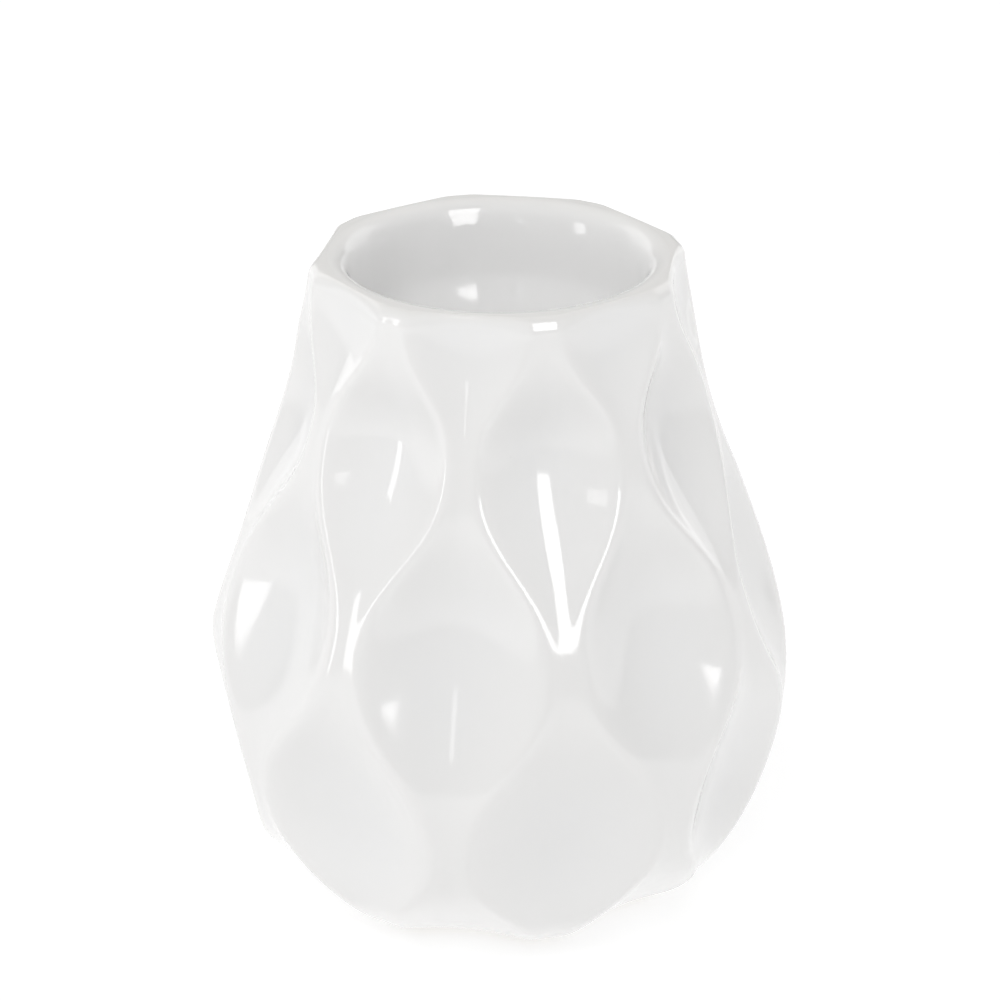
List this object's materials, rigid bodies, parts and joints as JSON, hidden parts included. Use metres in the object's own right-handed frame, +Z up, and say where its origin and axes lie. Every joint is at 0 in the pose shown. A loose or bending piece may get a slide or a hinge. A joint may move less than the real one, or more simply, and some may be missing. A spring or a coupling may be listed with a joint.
{
  "type": "flower vase",
  "caption": "Small round-bellied vase of white glazed stoneware, pressed all over with staggered leaf-shaped scoops, with a soft thick lip and a funnel mouth.",
  "frame": {"origin": "centre of the foot, on the table", "axes": "+Z up along the vase's axis; -Y through the middle of a column of leaf-shaped scoops; +X to the right of it"},
  "size_m": [0.0862, 0.0862, 0.1],
  "materials": {
    "bare_clay": "fired white stoneware, bare and matt on the foot ring",
    "outside_glaze": "clear-bright white glaze, glossy, fine pinholes and a few dark specks",
    "inside_glaze": "glossy white glaze, a little more speckled than the outside"
  },
  "bodies": {
    "root": {"clay_body": "bare_clay", "outer_glaze": "outside_glaze", "inner_glaze": "inside_glaze"}
  },
  "joints": []
}
